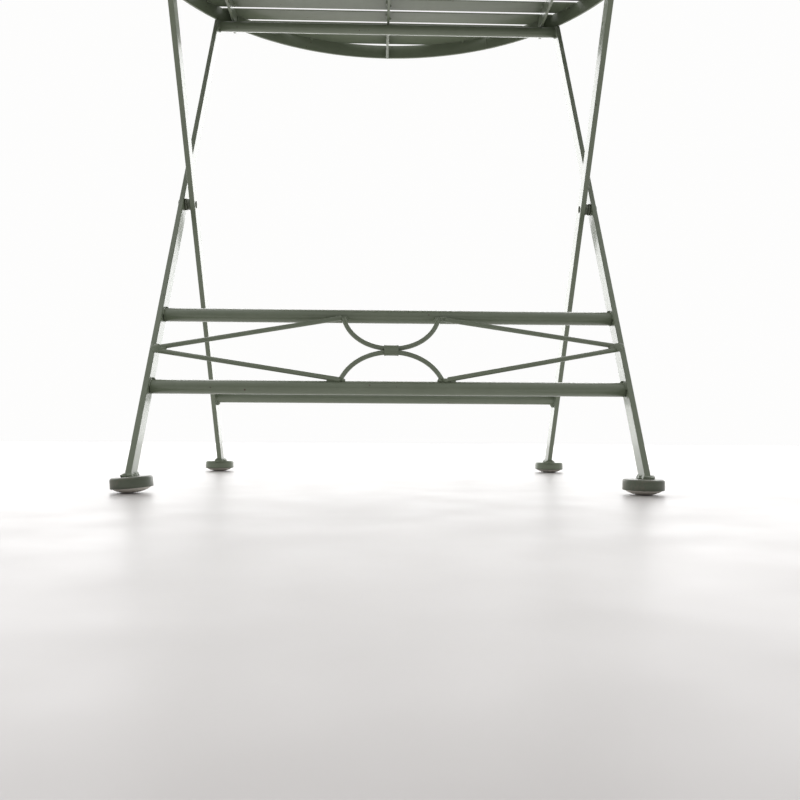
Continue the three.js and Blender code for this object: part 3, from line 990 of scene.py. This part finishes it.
def rivet_shape(faces, heads, spot, side):
    """A shank with a peened head at each end; the first of each pair is nearer the middle."""
    shank = 4.0
    inner = dome(faces[0], -1, *heads[0])[::-1]
    outer = dome(faces[1], 1, *heads[1])
    profile = [*inner, (shank, faces[0]), (shank, faces[1]), *outer]
    return turned(Shape(), profile, HARDWARE_SIDES, spun_about_x(spot, side))


def washer_shape(radius, start, end, spot, side):
    """A ring round a rivet, from start to end along X."""
    hole = 4.3
    edge = 0.35
    profile = [
        (hole, start),
        (radius - edge, start),
        (radius, start + edge),
        (radius, end - edge),
        (radius - edge, end),
        (hole, end),
    ]
    return turned_ring(Shape(), profile, HARDWARE_SIDES, spun_about_x(spot, side))


def make_pivots():
    """The rivets that join the frames, each with a spacer and a washer between the two legs."""
    washer_start = OUTER_INNER_FACE - 2.9
    heads = ((4.6, 1.8), (6.6, 3.2))
    for word, side in SIDES:
        rivet = rivet_shape((INNER_INNER_FACE, OUTER_FACE), heads, PIVOT_SPOT, side)
        add_piece(f"pivot_rivet_{word}_peened", rivet, HARDWARE, "outer_frame", [f"pivot_rivet_{word}"])
        spacer = washer_shape(7.2, INNER_OUTER_FACE + 0.1, washer_start - 0.1, PIVOT_SPOT, side)
        add_piece(f"pivot_spacer_{word}_ring", spacer, HARDWARE, "outer_frame", [f"pivot_spacer_{word}"])
        washer = washer_shape(7.6, washer_start, OUTER_INNER_FACE - 0.1, PIVOT_SPOT, side)
        add_piece(f"pivot_washer_{word}_ring", washer, HARDWARE, "outer_frame", [f"pivot_washer_{word}"])


def make_hinges():
    """The rivets that hang the top's lugs on the inner legs, each with a washer."""
    lug_faces = (SIDE_BEARER_X - BEARER_THICKNESS / 2, SIDE_BEARER_X + BEARER_THICKNESS / 2)
    heads = ((6.5, 3.0), (6.5, 3.0))
    for word, side in SIDES:
        rivet = rivet_shape((lug_faces[0], INNER_OUTER_FACE), heads, HINGE_SPOT, side)
        add_piece(f"hinge_rivet_{word}_peened", rivet, HARDWARE, "inner_frame", [f"hinge_rivet_{word}"])
        washer = washer_shape(8, lug_faces[1] + 0.2, INNER_INNER_FACE - 0.2, HINGE_SPOT, side)
        add_piece(f"hinge_washer_{word}_ring", washer, HARDWARE, "inner_frame", [f"hinge_washer_{word}"])


# ---- Round top ----
TOP_FIT_RADIUS = HOOP_INNER_RADIUS - 0.6  # slats and bearers are cut to this circle
HOOP_UNDERSIDE = TABLE_HEIGHT - HOOP_HEIGHT


def chord_half(offset):
    """Half the length of a chord of the fit circle, at an offset from its middle."""
    return math.sqrt(TOP_FIT_RADIUS**2 - offset**2)


def make_hoop():
    """A flat bar rolled on edge into a ring, with small rounded corners."""
    corner = 0.9
    corners = (
        (TOP_RADIUS - corner, TABLE_HEIGHT - corner),
        (HOOP_INNER_RADIUS + corner, TABLE_HEIGHT - corner),
        (HOOP_INNER_RADIUS + corner, HOOP_UNDERSIDE + corner),
        (TOP_RADIUS - corner, HOOP_UNDERSIDE + corner),
    )
    profile = []
    for quarter, centre in enumerate(corners):
        start = quarter * math.pi / 2
        profile.extend(arc_points(centre, corner, start, start + math.pi / 2, 5))
    add_piece("top_hoop_rolled", turned_ring(Shape(), profile, HOOP_SIDES), PAINT, "top", ["top_hoop"])


def slat_shape(y):
    """A flat strip along X whose ends follow the hoop."""
    steps = 12
    edges = [y + SLAT_WIDTH * (i / steps - 0.5) for i in range(steps + 1)]
    outline = [(chord_half(e), e) for e in edges] + [(-chord_half(e), e) for e in edges[::-1]]
    lower = [(x, e, SLAT_UNDERSIDE) for x, e in outline]
    upper = [(x, e, TABLE_HEIGHT) for x, e in outline]
    return prism(Shape(), lower, upper)


def slat_rows():
    """Each slat's number, from 1, and its y."""
    for i in range(-SLATS_EACH_SIDE, SLATS_EACH_SIDE + 1):
        yield i + SLATS_EACH_SIDE + 1, i * SLAT_PITCH


def make_slats():
    for number, y in slat_rows():
        name = f"slat_{number:02d}"
        add_piece(f"{name}_strip", slat_shape(y), PAINT, "top", [name], SLAT_CORNER)


BEARERS = (("left", -SIDE_BEARER_X), ("middle", 0), ("right", SIDE_BEARER_X))


def bearer_reach(x):
    """Half the length of the bearer at x."""
    return chord_half(abs(x) + BEARER_THICKNESS / 2)


def make_bearers():
    top = SLAT_UNDERSIDE - 0.1
    for word, x in BEARERS:
        name = f"top_bearer_{word}"
        reach = bearer_reach(x)
        outline = [(-reach, BEARER_BOTTOM), (reach, BEARER_BOTTOM), (reach, top), (-reach, top)]
        bar = plate(Shape(), outline, BEARER_THICKNESS, Matrix.Translation((x, 0, 0)))
        add_piece(f"{name}_bar", bar, PAINT, "top", [name], PLATE_CORNER)


def make_slat_tacks():
    """Small lumps under each slat, on both sides of the bearers it crosses and at the hoop."""
    tacks = Shape()
    for number, y in slat_rows():
        for _, x in BEARERS:
            if abs(y) > bearer_reach(x) - SLAT_WIDTH / 2:
                continue
            for side in (-1, 1):
                spot = (x + side * (BEARER_THICKNESS / 2 + 0.5), y + side * 6.0, SLAT_UNDERSIDE - 0.5)
                blob(tacks, spot, (2.2, 4.2, 1.7), 3 * number + side + x, uneven=0.3)
        for side in (-1, 1):
            spot = (side * (chord_half(y) - 0.5), y, SLAT_UNDERSIDE - 0.3)
            blob(tacks, spot, (2.4, 4.5, 1.5), 7 * number + side, uneven=0.3)
    add_piece("slat_tack_welds", tacks, PAINT, "top")


HOOP_JOINT_TURN = math.radians(61)  # where the hoop's two ends meet


def make_top_frame_welds():
    """Upright beads in the corners where the bearers meet the hoop, and one on the hoop's joint."""
    beads = Shape()
    for _, x in BEARERS:
        for side in (-1, 1):
            for end in (-1, 1):
                y = end * (bearer_reach(x) - 0.2)
                at = x + side * (BEARER_THICKNESS / 2 + 0.4)
                path = dense([(at, y, BEARER_BOTTOM + 3), (at, y, SLAT_UNDERSIDE - 2)])
                bead(beads, path, 1.4, x + side + 2 * end)
    inside = HOOP_INNER_RADIUS + 0.1
    path = dense([(inside, 0, HOOP_UNDERSIDE + 2), (inside, 0, TABLE_HEIGHT - 3)])
    bead(beads, path, 1.3, 17, Matrix.Rotation(HOOP_JOINT_TURN, 4, "Z"))
    add_piece("top_frame_welds", beads, PAINT, "top")


# ---- Lugs and hooks, hanging from the side bearers ----
LUG_RISE = BEARER_BOTTOM - FOLD_AXIS_HEIGHT  # from the fold axis up to the bearers
LUG_RADIUS = 11
LUG_FOOT = LUG_RADIUS + 8  # half a lug's width where it meets its bearer
HOOK_RADIUS = TUBE_RADIUS + 0.5
HOOK_BACK = HOOK_RADIUS + 6  # from the crossbar's axis to the hook's outer edge
HOOK_FOOT = HOOK_BACK + 10  # and to the end of the hook where it meets its bearer
HOOK_DROP = 4
BEAD_MARGIN = 2  # the beads stop this far short of the end of a lug or hook
HALF_STITCH_GAP = 6  # the washer turns between a lug's two stitches


def lug_outline():
    """Round below the hinge rivet and spread where it meets the bearer."""
    eye = arc_points((0, 0), LUG_RADIUS, math.pi, 2 * math.pi, 20)
    return [(LUG_FOOT, LUG_RISE), (-LUG_FOOT, LUG_RISE), *eye]


def hook_outline():
    """A tooth that reaches down behind the crossbar, its inside rounded to fit it."""
    outside = [(HOOK_RADIUS, -HOOK_DROP), (HOOK_BACK, -HOOK_DROP), (HOOK_FOOT, LUG_RISE)]
    return outside + arc_points((0, 0), HOOK_RADIUS, 0.9, 0, 10)


def lug_and_hook_beads(welds, side, face, lug_place, hook_place):
    """Two stitches along the lug's foot and one bead along the hook's, on one face of each."""
    at = face * (BEARER_THICKNESS / 2 + 0.2)
    for stitch in (-1, 1):
        start = stitch * (LUG_FOOT - BEAD_MARGIN)
        run = [(at, start, LUG_RISE), (at, stitch * HALF_STITCH_GAP, LUG_RISE)]
        bead(welds, dense(run), 1.3, side + face + 3 * stitch, lug_place)
    run = [(at, HOOK_RADIUS * 0.8, LUG_RISE), (at, HOOK_FOOT - BEAD_MARGIN, LUG_RISE)]
    bead(welds, dense(run), 1.3, side + face + 5, hook_place)


def make_lugs_and_hooks():
    welds = Shape()
    for word, side in SIDES:
        lug_place = Matrix.Translation((side * SIDE_BEARER_X, -FOLD_AXIS_Y, FOLD_AXIS_HEIGHT))
        hook_place = Matrix.Translation((side * SIDE_BEARER_X, FOLD_AXIS_Y, FOLD_AXIS_HEIGHT))
        lug = plate(Shape(), lug_outline(), BEARER_THICKNESS, lug_place)
        add_piece(f"hinge_lug_{word}_plate", lug, PAINT, "top", [f"hinge_lug_{word}"], PLATE_CORNER)
        hook = plate(Shape(), hook_outline(), BEARER_THICKNESS, hook_place)
        add_piece(f"catch_hook_{word}_plate", hook, PAINT, "top", [f"catch_hook_{word}"], PLATE_CORNER)
        for face in (-1, 1):
            lug_and_hook_beads(welds, side, face, lug_place, hook_place)
    add_piece("lug_and_hook_welds", welds, PAINT, "top")


# ---- Studio, in metres ----
FLOOR_REACH = 9.0
FLOOR_BACK = 2.69  # the floor ends just in front of the bright wall
BACKDROP_TONE = 0.985
CAMERA_PLACE = (-0.014931, -1.113809, 0.067277)
CAMERA_TURN = 0.028  # to the right, in radians
CAMERA_RISE = 0.034
CAMERA_ROLL = 0.006
CAMERA_LENS = 38.25
CAMERA_SENSOR = 36
SOFTBOXES = (  # name, place, what it faces, width and height, watts
    ("top_softbox", (-0.6, 0.4, 2.6), (0, 0, 0.4), (2.6, 1.8), 5),
    ("back_wall_glow", (0, 2.7, 1.3), (0, 0, 1.3), (6.0, 2.6), 104),
    ("floor_bounce", (0, -0.2, 0.004), (0, -0.2, 1), (3.0, 2.4), 8),
)


def floor_material():
    """Plain pale sealed floor, with a slow drift in tone and gloss."""
    material, tree, surface, position = start_material("studio_floor")
    drift = remap(tree, noise_value(tree, position, 3.0), (0.3, 0.7))
    tone = mix_colours(tree, drift, (0.430, 0.412, 0.406, 1), (0.460, 0.441, 0.434, 1))
    tree.links.new(tone, surface.inputs["Base Color"])
    rough = remap(tree, noise_value(tree, position, 14.0, detail=4.0), (0.3, 0.7), (0.37, 0.43))
    tree.links.new(rough, surface.inputs["Roughness"])
    surface.inputs["IOR"].default_value = 1.3
    return material


def make_floor():
    mesh = bpy.data.meshes.new("studio_floor")
    front = [(-FLOOR_REACH, -FLOOR_REACH, 0), (FLOOR_REACH, -FLOOR_REACH, 0)]
    back = [(FLOOR_REACH, FLOOR_BACK, 0), (-FLOOR_REACH, FLOOR_BACK, 0)]
    mesh.from_pydata(front + back, [], [[0, 1, 2, 3]])
    mesh.materials.append(floor_material())
    floor = bpy.data.objects.new("studio_floor", mesh)
    bpy.context.scene.collection.objects.link(floor)


def make_surroundings():
    """A plain pale backdrop. The light it gives is strongest from behind and dim low down in front."""
    world = bpy.data.worlds.new("studio")
    world.use_nodes = True
    bpy.context.scene.world = world
    tree = world.node_tree
    background = tree.nodes["Background"]
    background.inputs["Color"].default_value = (1.0, 0.998, 0.994, 1)
    everywhere = tree.nodes.new("ShaderNodeTexCoord").outputs["Generated"]
    direction = add_node(tree, "ShaderNodeSeparateXYZ", Vector=everywhere).outputs
    back = remap(tree, direction["Y"], (-0.3, 0.9), (0.60, 1.3))
    above = remap(tree, direction["Z"], (0.2, 0.95), (0.0, 0.2))
    in_front = remap(tree, direction["Y"], (-0.7, 0.0), (0.75, 0.0))
    low = remap(tree, direction["Z"], (0.03, 0.35), (1.0, 0.0))
    dimming = calculate(tree, "SUBTRACT", 1.0, calculate(tree, "MULTIPLY", in_front, low))
    lighting = calculate(tree, "MULTIPLY", calculate(tree, "ADD", back, above), dimming)
    seen = tree.nodes.new("ShaderNodeLightPath").outputs["Is Camera Ray"]
    unseen = calculate(tree, "MULTIPLY", calculate(tree, "SUBTRACT", 1.0, seen), lighting)
    strength = calculate(tree, "MULTIPLY_ADD", seen, BACKDROP_TONE, unseen)
    tree.links.new(strength, background.inputs["Strength"])


def add_softbox(name, place, target, size, power):
    """A soft rectangular light that faces target and isn't seen itself."""
    data = bpy.data.lights.new(name, "AREA")
    data.shape = "RECTANGLE"
    data.size, data.size_y = size
    data.energy = power
    light = bpy.data.objects.new(name, data)
    bpy.context.scene.collection.objects.link(light)
    light.location = place
    light.rotation_euler = (Vector(target) - Vector(place)).to_track_quat("-Z", "Y").to_euler()
    light.visible_camera = False


def make_camera():
    """Low down in front of the ornamented side, looking along +Y and a little up."""
    data = bpy.data.cameras.new("camera")
    data.sensor_width = CAMERA_SENSOR
    data.lens = CAMERA_LENS
    camera = bpy.data.objects.new("camera", data)
    bpy.context.scene.collection.objects.link(camera)
    level = Vector((math.cos(CAMERA_TURN), -math.sin(CAMERA_TURN), 0))
    ahead = Vector((math.sin(CAMERA_TURN), math.cos(CAMERA_TURN), 0))
    forward = ahead * math.cos(CAMERA_RISE) + Vector((0, 0, math.sin(CAMERA_RISE)))
    upright = level.cross(forward)
    right = level * math.cos(CAMERA_ROLL) + upright * math.sin(CAMERA_ROLL)
    up = upright * math.cos(CAMERA_ROLL) - level * math.sin(CAMERA_ROLL)
    pose = Matrix((right, up, -forward)).transposed().to_4x4()
    pose.translation = Vector(CAMERA_PLACE)
    camera.matrix_world = pose
    bpy.context.scene.camera = camera


make_legs()
make_stretchers()
make_rods()
make_ornament_welds()
make_collar()
make_feet()
make_pivots()
make_hinges()
make_hoop()
make_slats()
make_bearers()
make_slat_tacks()
make_top_frame_welds()
make_lugs_and_hooks()
make_floor()
make_surroundings()
for softbox in SOFTBOXES:
    add_softbox(*softbox)
make_camera()
bpy.context.scene.view_settings.view_transform = "Standard"
